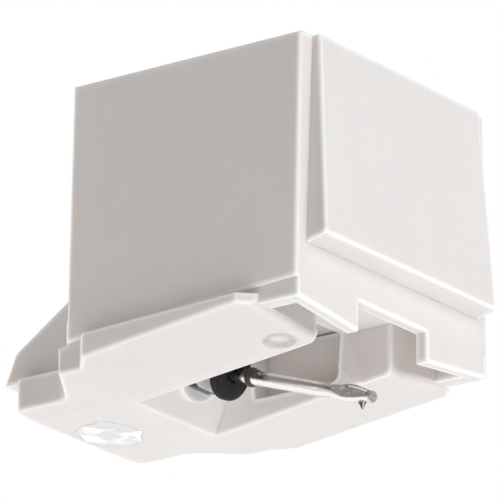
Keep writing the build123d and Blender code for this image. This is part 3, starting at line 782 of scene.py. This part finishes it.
class CARTRIDGE_OT_damper(bpy.types.Operator):
    """Rubber ring with rounded edges and slightly bulged flanks."""

    bl_idname = "cartridge.damper"
    bl_label = "Damper"

    def execute(self, context):
        sizes = context.scene.cartridge_sizes
        # Rounded rectangle: |cos|^p by |sin|^p about the middle of the ring's section.
        turn = around(56)
        middle = (sizes.damper_radius + sizes.damper_hole) / 2
        half = (sizes.damper_radius - sizes.damper_hole) / 2
        radius = middle + half * signed_power(np.cos(turn), 0.45)
        station = sizes.damper_thick / 2 * signed_power(np.sin(turn), 0.4)
        piece = turned("damper_ring", radius, station)
        settle(piece, "damper_link", "damper_rubber", finishes()["damper_rubber"], "damper")
        return {"FINISHED"}


def square_rows(profile):
    """Rows of a pierced square bar, from its half width, station and power p along the profile.

    Section = half * |cos|^p by half * |sin|^p, with p small for the square and 1 for the round hole.
    """
    half, station, power = np.array(profile).T[:, :, None]
    angle = around(96)[None, :]
    across = half * signed_power(np.cos(angle), power)
    lift = half * signed_power(np.sin(angle), power)
    return on_axis(across, lift, station)


class CARTRIDGE_OT_sleeve(bpy.types.Operator):
    """Square plated sleeve with soft corners and a pierced front."""

    bl_idname = "cartridge.sleeve"
    bl_label = "Sleeve"

    def execute(self, context):
        sizes = context.scene.cartridge_sizes
        outer, hole = sizes.sleeve_half, sizes.sleeve_hole
        inner = outer - sizes.sleeve_wall
        start, end, soft = sizes.sleeve_start, sizes.sleeve_end, SLEEVE_SOFT
        back = end - sizes.sleeve_wall
        profile = (
            (outer - soft, start, SOFT_SQUARE),
            (outer, start + soft, SOFT_SQUARE),
            (outer, end - 2 * soft, SOFT_SQUARE),
            (outer, end - soft, SOFT_SQUARE),
            (outer - 0.3 * soft, end - 0.3 * soft, SOFT_SQUARE),
            (outer - soft, end, SOFT_SQUARE),
            (outer - 2 * soft, end, SOFT_SQUARE),
            (hole + 2 * soft, end, ROUND),
            (hole, end, ROUND),
            (hole, end - soft, ROUND),
            (hole, back, ROUND),
            (hole + soft, back, ROUND),
            (inner - soft, back, SQUARE),
            (inner, back, SQUARE),
            (inner, back - soft, SQUARE),
            (inner, start, SQUARE),
        )
        piece = skin("sleeve_can", square_rows(profile), ring=True)
        settle(piece, "stylus_unit", "sleeve_metal", finishes()["sleeve_metal"], "suspension_sleeve")
        return {"FINISHED"}


class CARTRIDGE_OT_anchor(bpy.types.Operator):
    """Plate in the rear of the sleeve, pierced wide enough for the tie wire's swing."""

    bl_idname = "cartridge.anchor"
    bl_label = "Wire anchor"

    def execute(self, context):
        sizes = context.scene.cartridge_sizes
        outer, hole = sizes.sleeve_half - sizes.sleeve_wall, sizes.anchor_hole
        start, end, soft = sizes.anchor_start, sizes.anchor_end, ANCHOR_SOFT
        profile = (
            (outer - soft, start, SQUARE),
            (outer, start + soft, SQUARE),
            (outer, end - soft, SQUARE),
            (outer - soft, end, SQUARE),
            (hole + soft, end, ROUND),
            (hole, end - soft, ROUND),
            (hole, start + soft, ROUND),
            (hole + soft, start, ROUND),
        )
        piece = skin("anchor_plate", square_rows(profile), ring=True)
        settle(piece, "stylus_unit", "sleeve_metal", finishes()["sleeve_metal"], "wire_anchor")
        return {"FINISHED"}


class CARTRIDGE_OT_stop_ring(bpy.types.Operator):
    """Thin waisted ring on the tube with a tongue of black glue in front."""

    bl_idname = "cartridge.stop_ring"
    bl_label = "Stop ring"

    def execute(self, context):
        sizes = context.scene.cartridge_sizes
        # Profile of radius, station and share of the tongue. The tongue runs forward by
        # (0.1 + 0.9 w^3) of its length, with w = (1 + sin) / 2 about the upper side.
        ring, tube = sizes.collar_radius, sizes.tube_radius
        start, end = sizes.collar_start, sizes.collar_end
        soft = (ring - tube) / 4
        profile = (
            (tube, start, 0.0),
            (ring - soft, start, 0.0),
            (ring, start + soft, 0.0),
            (ring - soft / 2, (start + end) / 2, 0.0),
            (ring, end - soft, 0.0),
            (ring - soft, end, 0.0),
            (tube + 2 * soft, end, 0.1),
            (tube + 1.7 * soft, end, 0.4),
            (tube + soft, end, 0.8),
            (tube, end, 1.0),
        )
        radius, station, share = np.array(profile).T[:, :, None]
        angle = around(72)[None, :]
        tongue = sizes.collar_tongue * (0.1 + 0.9 * ((1.0 + np.sin(angle - 0.3)) / 2) ** 3)
        ripple = 1.0 + 0.1 * np.sin(7.0 * angle) * share
        rows = on_axis(radius * np.cos(angle), radius * np.sin(angle), station + share * tongue * ripple)
        piece = skin("stop_ring", rows, ring=True)
        settle(piece, "cantilever", "carrier_plastic", finishes()["carrier_plastic"], "stop_collar")
        return {"FINISHED"}


class CARTRIDGE_OT_windings(bpy.types.Operator):
    """Coils whose outer layer shows its turns of fine wire."""

    bl_idname = "cartridge.windings"
    bl_label = "Windings"

    def execute(self, context):
        sizes = context.scene.cartridge_sizes
        for side in ("left", "right"):
            node = "coil_winding_" + side
            low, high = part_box(node)
            x, y, _ = node_middle(node)
            # Radius = outer radius less a half-round groove between turns that climb one pitch a lap.
            angle = around(64)[None, :]
            climb = np.linspace(0.0, 1.0, sizes.winding_turns * 4 + 1)[:, None]
            phase = climb * sizes.winding_turns - angle / (2.0 * np.pi)
            depth = (high[2] - low[2]) / sizes.winding_turns / 2
            radius = sizes.winding_radius - depth * (1.0 - np.abs(np.sin(np.pi * phase)))
            height = low[2] + (high[2] - low[2]) * climb
            outer = upright_rows(x, y, radius, angle, height)
            bore = upright_rows(x, y, sizes.winding_bore, angle, height[[-1, 0]])
            piece = skin("winding_turns_" + side, np.concatenate([outer, bore]), ring=True)
            settle(piece, "generator", "copper_wire", finishes()["copper_wire"], node)
        return {"FINISHED"}


class CARTRIDGE_OT_tip(bpy.types.Operator):
    """Diamond with a hollow-ground cone and a rounded point."""

    bl_idname = "cartridge.tip"
    bl_label = "Tip"

    def execute(self, context):
        low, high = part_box("diamond_tip")
        x, y, _ = node_middle("diamond_tip")
        # Radius rises with height to the power 0.9 from a small round point, and four flats pinch it.
        climb = np.linspace(0.0, 1.0, 40)[:, None]
        angle = around(48)[None, :]
        full = (high[0] - low[0]) / 2
        radius = full * (0.12 + 0.88 * climb**0.9) * np.minimum(1.0, (climb / 0.12 + 0.05)) ** 0.5
        radius = radius * (1.0 - 0.06 * np.cos(2.0 * angle) ** 2 * climb)
        height = low[2] + (high[2] - low[2]) * climb
        piece = skin("tip_stone", upright_rows(x, y, radius, angle, height))
        settle(piece, "cantilever", "diamond", finishes()["diamond"], "diamond_tip")
        return {"FINISHED"}


class CARTRIDGE_OT_adhesive(bpy.types.Operator):
    """Uneven clear dab under the tail."""

    bl_idname = "cartridge.adhesive"
    bl_label = "Adhesive dab"

    def execute(self, context):
        low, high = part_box("bond_spot")
        x, y, _ = node_middle("bond_spot")
        half_x, half_y = (high[0] - low[0]) / 2, (high[1] - low[1]) / 2
        # Dome over a wavy ellipse: depth = full depth * (1 - u^2)^1.5 * lumps, with u from the middle
        # to the rim. The lumps are bells about a few spots, added to a low even film.
        angle = around(120)[None, :]
        share = np.linspace(0.02, 1.0, 60)[:, None]
        edge = DAB_RIM + sum(tall * np.sin(count * angle + phase) for tall, count, phase in DAB_WAVES)
        across, along = edge * share * np.cos(angle), edge * share * np.sin(angle)
        lumps = np.full_like(across, DAB_FILM)
        for spot_x, spot_y, wide, tall in DAB_SPOTS:
            reach = ((across - spot_x) ** 2 + (along - spot_y) ** 2) / wide**2
            lumps = lumps + tall * np.exp(-reach)
        depth = (high[2] - low[2]) * (1.0 - share**2) ** 1.5 * np.minimum(lumps, 1.0)
        dome = np.stack([x + half_x * across, y + half_y * along, high[2] - depth], -1)
        piece = skin("adhesive_dab", dome)
        settle(piece, "stylus_unit", "clear_adhesive", finishes()["clear_adhesive"], "bond_spot")
        return {"FINISHED"}


def seen_white(tree, surface, output):
    """Mix a surface with plain white for camera, glossy and see-through rays."""
    path = tree.nodes.new("ShaderNodeLightPath")
    glossy = tree.nodes.new("ShaderNodeMath")
    glossy.operation = "MAXIMUM"
    tree.links.new(path.outputs["Is Camera Ray"], glossy.inputs[0])
    tree.links.new(path.outputs["Is Glossy Ray"], glossy.inputs[1])
    clear = tree.nodes.new("ShaderNodeMath")
    clear.operation = "MAXIMUM"
    tree.links.new(glossy.outputs[0], clear.inputs[0])
    tree.links.new(path.outputs["Is Transmission Ray"], clear.inputs[1])
    mix = tree.nodes.new("ShaderNodeMixShader")
    tree.links.new(clear.outputs[0], mix.inputs["Fac"])
    tree.links.new(surface, mix.inputs[1])
    tree.links.new(mix.outputs[0], output.inputs["Surface"])
    return mix.inputs[2]


def white_world(stage):
    """Even light all round, seen as white."""
    world = bpy.data.worlds.new("studio")
    bpy.context.scene.world = world
    world.use_nodes = True
    tree = world.node_tree
    plain = tree.nodes["Background"]
    plain.inputs["Color"].default_value = (1.0, 0.98, 0.95, 1.0)
    plain.inputs["Strength"].default_value = stage.ambient
    white = tree.nodes.new("ShaderNodeBackground")
    white.inputs["Color"].default_value = (1.0, 1.0, 1.0, 1.0)
    white.inputs["Strength"].default_value = 1.0
    socket = seen_white(tree, plain.outputs[0], tree.nodes["World Output"])
    tree.links.new(white.outputs[0], socket)


def pale_floor(stage):
    """Wide pale sheet below the object and the camera."""
    reach = FLOOR_REACH
    mesh = bpy.data.meshes.new("floor")
    corners = [(-reach, -reach), (reach, -reach), (reach, reach), (-reach, reach)]
    mesh.from_pydata([(x, y, -stage.floor_drop) for x, y in corners], [], [(0, 1, 2, 3)])
    floor = bpy.data.objects.new("floor", mesh)
    bpy.context.scene.collection.objects.link(floor)
    material = bpy.data.materials.new("floor")
    material.use_nodes = True
    tree = material.node_tree
    principled = tree.nodes["Principled BSDF"]
    principled.inputs["Base Color"].default_value = (0.9, 0.9, 0.9, 1.0)
    principled.inputs["Roughness"].default_value = 0.9
    white = tree.nodes.new("ShaderNodeEmission")
    socket = seen_white(tree, principled.outputs[0], tree.nodes["Material Output"])
    tree.links.new(white.outputs[0], socket)
    mesh.materials.append(material)


def soft_lamp(name, direction, distance, size, power, colour=(1.0, 1.0, 1.0), glossy=False):
    """Square lamp in a direction from the object, facing it."""
    lamp = bpy.data.lights.new(name, "AREA")
    lamp.size = size
    lamp.energy = power
    lamp.color = colour
    stand = bpy.data.objects.new(name, lamp)
    away = Vector(direction).normalized()
    stand.location = Vector(LAMP_AIM) + away * distance
    stand.rotation_mode = "QUATERNION"
    stand.rotation_quaternion = away.to_track_quat("Z", "Y")
    stand.visible_camera = False
    stand.visible_glossy = glossy
    stand.visible_transmission = False
    bpy.context.scene.collection.objects.link(stand)


def photo_camera(stage):
    """Camera set about the aim point: turned by azimuth, elevation and roll, then slid."""
    a, e, r = stage.azimuth, stage.elevation, stage.roll
    back = Vector((math.sin(a) * math.cos(e), -math.cos(a) * math.cos(e), math.sin(e)))
    level = Vector((0.0, 0.0, 1.0)).cross(back).normalized()
    rise = back.cross(level)
    right = level * math.cos(r) + rise * math.sin(r)
    up = rise * math.cos(r) - level * math.sin(r)
    data = bpy.data.cameras.new("camera")
    data.lens = stage.focal
    data.sensor_width = 36.0
    data.clip_start = 0.01
    data.clip_end = 10.0
    camera = bpy.data.objects.new("camera", data)
    place = Vector(stage.aim) + right * stage.slide[0] + up * stage.slide[1] + back * stage.distance
    turn = Matrix((right, up, back)).transposed().to_4x4()
    camera.matrix_world = Matrix.Translation(place) @ turn
    bpy.context.scene.collection.objects.link(camera)
    bpy.context.scene.camera = camera


class CARTRIDGE_OT_stage(bpy.types.Operator):
    """Camera, lamps, white surroundings and floor."""

    bl_idname = "cartridge.stage"
    bl_label = "Stage"

    def execute(self, context):
        stage = context.scene.cartridge_stage
        context.scene.view_settings.view_transform = "Standard"
        white_world(stage)
        pale_floor(stage)
        soft_lamp("front", (-0.05, -1.0, 0.3), 0.5, 0.45, stage.front_power, (0.92, 0.965, 1.0))
        soft_lamp("below", (-0.15, -0.15, -1.0), 0.24, 0.6, stage.below_power, (0.95, 0.98, 1.0))
        soft_lamp("rim", (-0.12, 1.0, 0.05), 0.5, 0.4, stage.rim_power)
        soft_lamp("edge", (0.761, -0.31, -0.543), 0.4, 0.06, stage.edge_power, glossy=True)
        photo_camera(stage)
        return {"FINISHED"}


STEPS = (
    CARTRIDGE_OT_finishes,
    CARTRIDGE_OT_cantilever,
    CARTRIDGE_OT_damper,
    CARTRIDGE_OT_sleeve,
    CARTRIDGE_OT_anchor,
    CARTRIDGE_OT_stop_ring,
    CARTRIDGE_OT_windings,
    CARTRIDGE_OT_tip,
    CARTRIDGE_OT_adhesive,
    CARTRIDGE_OT_stage,
)


class CARTRIDGE_PT_panel(bpy.types.Panel):
    """Sidebar list of the steps."""

    bl_idname = "CARTRIDGE_PT_panel"
    bl_label = "Cartridge"
    bl_space_type = "VIEW_3D"
    bl_region_type = "UI"
    bl_category = "Cartridge"

    def draw(self, context):
        for step in STEPS:
            self.layout.operator(step.bl_idname)


GROUPS = {
    "cartridge_sizes": CartridgeSizes,
    "cartridge_colours": CartridgeColours,
    "cartridge_stage": CartridgeStage,
}


def register():
    """Register the classes and hang the groups on the scene."""
    for kind in (*GROUPS.values(), *STEPS, CARTRIDGE_PT_panel):
        bpy.utils.register_class(kind)
    for name, group in GROUPS.items():
        setattr(bpy.types.Scene, name, PointerProperty(type=group))


def unregister():
    """Take the groups off the scene and unregister the classes."""
    for name in GROUPS:
        delattr(bpy.types.Scene, name)
    for kind in (CARTRIDGE_PT_panel, *reversed(STEPS), *reversed(GROUPS.values())):
        bpy.utils.unregister_class(kind)


def main():
    """Run the steps in order."""
    register()
    for step in STEPS:
        family, verb = step.bl_idname.split(".")
        getattr(getattr(bpy.ops, family), verb)()


if __name__ == "__main__":
    main()
